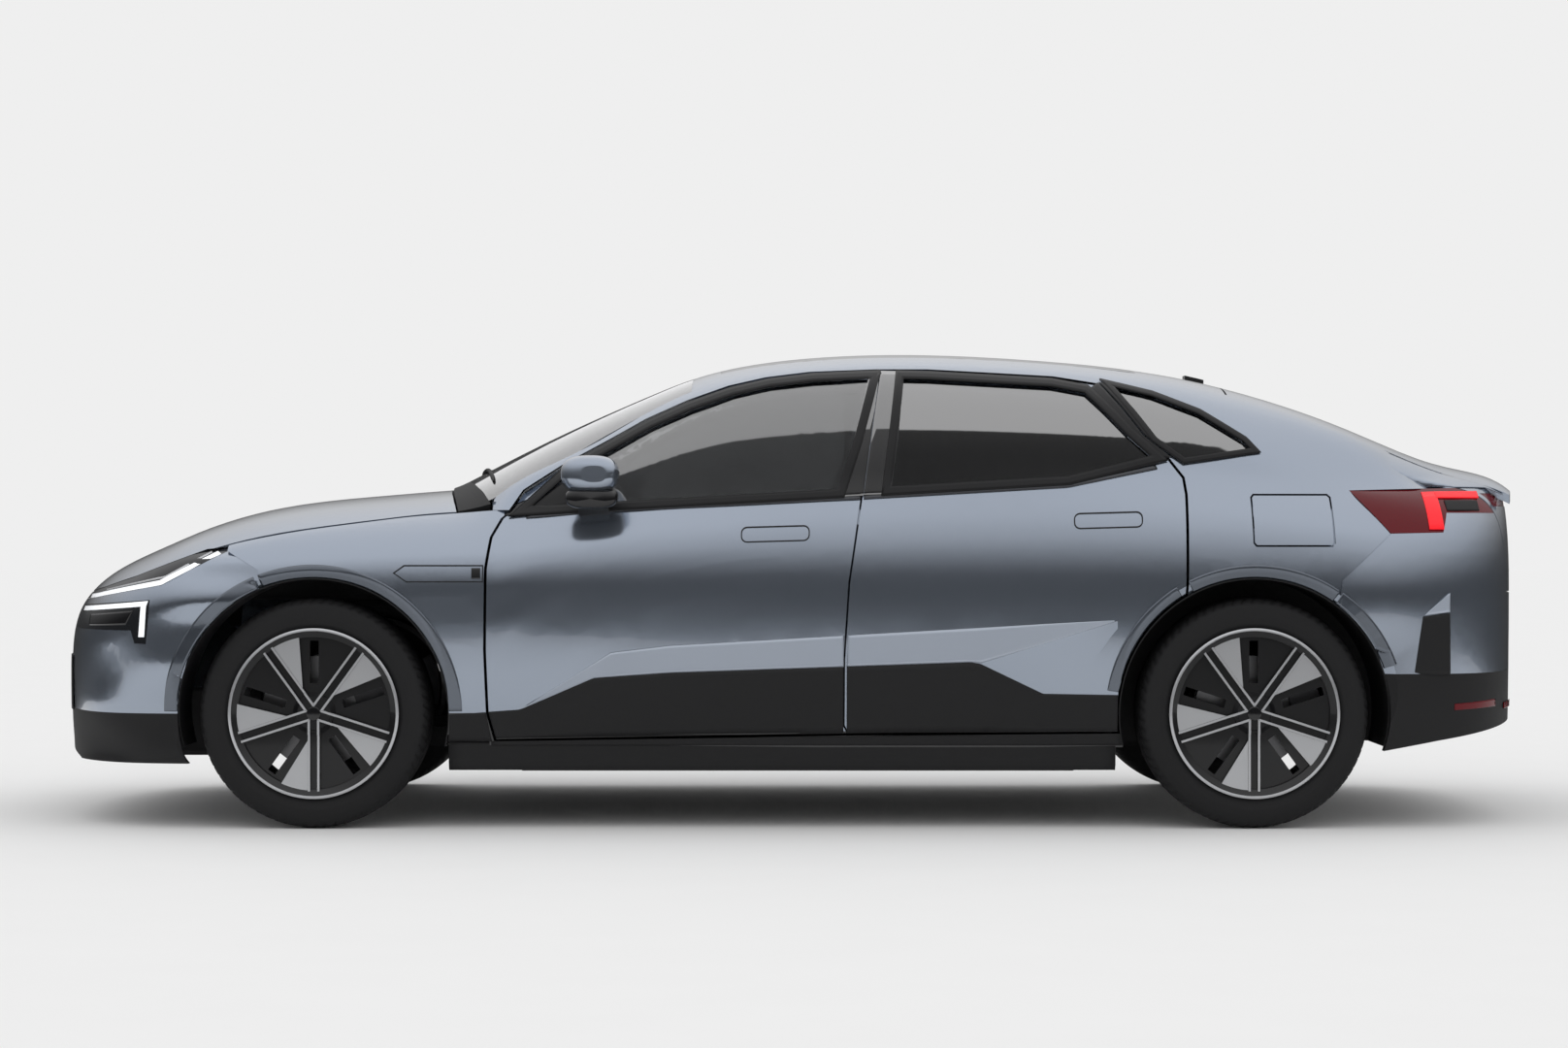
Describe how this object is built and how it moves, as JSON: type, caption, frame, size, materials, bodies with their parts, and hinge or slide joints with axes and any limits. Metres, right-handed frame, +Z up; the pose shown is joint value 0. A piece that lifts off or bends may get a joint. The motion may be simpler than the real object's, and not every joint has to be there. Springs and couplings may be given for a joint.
{
  "type": "coupe sport utility vehicle",
  "caption": "Sloping-roof electric sport utility vehicle with opening doors, bonnet, tailgate and charge flap, steered front wheels and a hollow cabin.",
  "frame": {"origin": "on the ground, midway along the length and on the vehicle's centre plane", "axes": "+X from nose to tail, +Y to the vehicle's right, +Z up"},
  "size_m": [4.8459, 2.136, 1.5459],
  "materials": {
    "paint": "metallic blue-grey",
    "glass": "tinted",
    "roof_glass": "dark tinted",
    "black_plastic": "matte",
    "gloss_black": "gloss",
    "lamp_clear": "clear lens",
    "lamp_red": "red lens",
    "steel": "bare",
    "alloy": "satin",
    "rubber": "matte",
    "cast": "machined",
    "leather": "satin",
    "underbody": "coated"
  },
  "bodies": {
    "body": {"body_side_left": "paint", "body_side_right": "paint", "roof_panel": "paint", "front_wings": "paint", "front_bumper": "paint", "rear_bumper": "paint", "windscreen": "glass", "quarter_windows": "glass", "roof_glass": "roof_glass", "cowl_panel": "black_plastic", "front_lower_trim": "black_plastic", "rear_lower_trim": "black_plastic", "wheel_arch_liners": "black_plastic", "frunk_cover": "black_plastic", "roof_camera_pod": "gloss_black", "headlamps": "lamp_clear", "tail_lamps": "lamp_red", "floor_pan": "underbody", "battery_pack": "alloy", "front_subframe": "underbody", "rear_subframe": "underbody", "drive_units": "alloy", "rear_knuckles": "cast", "hinges": "steel", "dashboard": "black_plastic", "steering_wheel": "leather", "front_seats": "leather", "rear_bench": "leather"},
    "bonnet": {"bonnet": "paint"},
    "tailgate": {"tailgate": "paint", "tail_light_bar": "lamp_red"},
    "charge_flap": {"charge_flap": "paint"},
    "knuckle_left": {"knuckle_front_left": "cast"},
    "knuckle_right": {"knuckle_front_right": "cast"},
    "door_front_left": {"door_front_left": "paint", "door_glass_front_left": "glass", "mirror_left": "paint"},
    "door_rear_left": {"door_rear_left": "paint", "door_glass_rear_left": "glass"},
    "door_front_right": {"door_front_right": "paint", "door_glass_front_right": "glass", "mirror_right": "paint"},
    "door_rear_right": {"door_rear_right": "paint", "door_glass_rear_right": "glass"},
    "wheel_front_left": {"tyre_front_left": "rubber", "rim_front_left": "alloy", "brake_disc_front_left": "cast"},
    "wheel_front_right": {"tyre_front_right": "rubber", "rim_front_right": "alloy", "brake_disc_front_right": "cast"},
    "wheel_rear_left": {"tyre_rear_left": "rubber", "rim_rear_left": "alloy", "brake_disc_rear_left": "cast"},
    "wheel_rear_right": {"tyre_rear_right": "rubber", "rim_rear_right": "alloy", "brake_disc_rear_right": "cast"}
  },
  "joints": [
    {"name": "steer_left", "type": "hinge", "parent": "body", "child": "knuckle_left", "pos_m": [-1.52, -0.796, 0.368], "axis": [0, 0, 1], "range_deg": [-35, 35]},
    {"name": "steer_right", "type": "hinge", "parent": "body", "child": "knuckle_right", "pos_m": [-1.52, 0.796, 0.368], "axis": [0, 0, 1], "range_deg": [-35, 35]},
    {"name": "spin_front_left", "type": "hinge", "parent": "knuckle_left", "child": "wheel_front_left", "pos_m": [-1.52, -0.848, 0.368], "axis": [0, 1, 0], "continuous": true},
    {"name": "spin_front_right", "type": "hinge", "parent": "knuckle_right", "child": "wheel_front_right", "pos_m": [-1.52, 0.848, 0.368], "axis": [0, 1, 0], "continuous": true},
    {"name": "spin_rear_left", "type": "hinge", "parent": "body", "child": "wheel_rear_left", "pos_m": [1.479, -0.848, 0.368], "axis": [0, 1, 0], "continuous": true},
    {"name": "spin_rear_right", "type": "hinge", "parent": "body", "child": "wheel_rear_right", "pos_m": [1.479, 0.848, 0.368], "axis": [0, 1, 0], "continuous": true},
    {"name": "open_door_front_left", "type": "hinge", "parent": "body", "child": "door_front_left", "pos_m": [-0.929, -0.982, 0.68], "axis": [0, 0, -1], "range_deg": [0, 65]},
    {"name": "open_door_front_right", "type": "hinge", "parent": "body", "child": "door_front_right", "pos_m": [-0.929, 0.982, 0.68], "axis": [0, 0, 1], "range_deg": [0, 65]},
    {"name": "open_door_rear_left", "type": "hinge", "parent": "body", "child": "door_rear_left", "pos_m": [0.216, -0.982, 0.68], "axis": [0, 0, -1], "range_deg": [0, 65]},
    {"name": "open_door_rear_right", "type": "hinge", "parent": "body", "child": "door_rear_right", "pos_m": [0.216, 0.982, 0.68], "axis": [0, 0, 1], "range_deg": [0, 65]},
    {"name": "open_bonnet", "type": "hinge", "parent": "body", "child": "bonnet", "pos_m": [-1.185, 0, 1.07303], "axis": [0, 1, 0], "range_deg": [0, 50]},
    {"name": "open_tailgate", "type": "hinge", "parent": "body", "child": "tailgate", "pos_m": [1.474, 0, 1.41655], "axis": [0, -1, 0], "range_deg": [0, 72]},
    {"name": "open_charge_flap", "type": "hinge", "parent": "body", "child": "charge_flap", "pos_m": [1.491, -0.95133, 0.97721], "axis": [0, -0.4643, -0.8857], "range_deg": [0, 85]}
  ],
  "couplings": [
    {"joint": "steer_right", "follows": "steer_left", "ratio": 1}
  ]
}
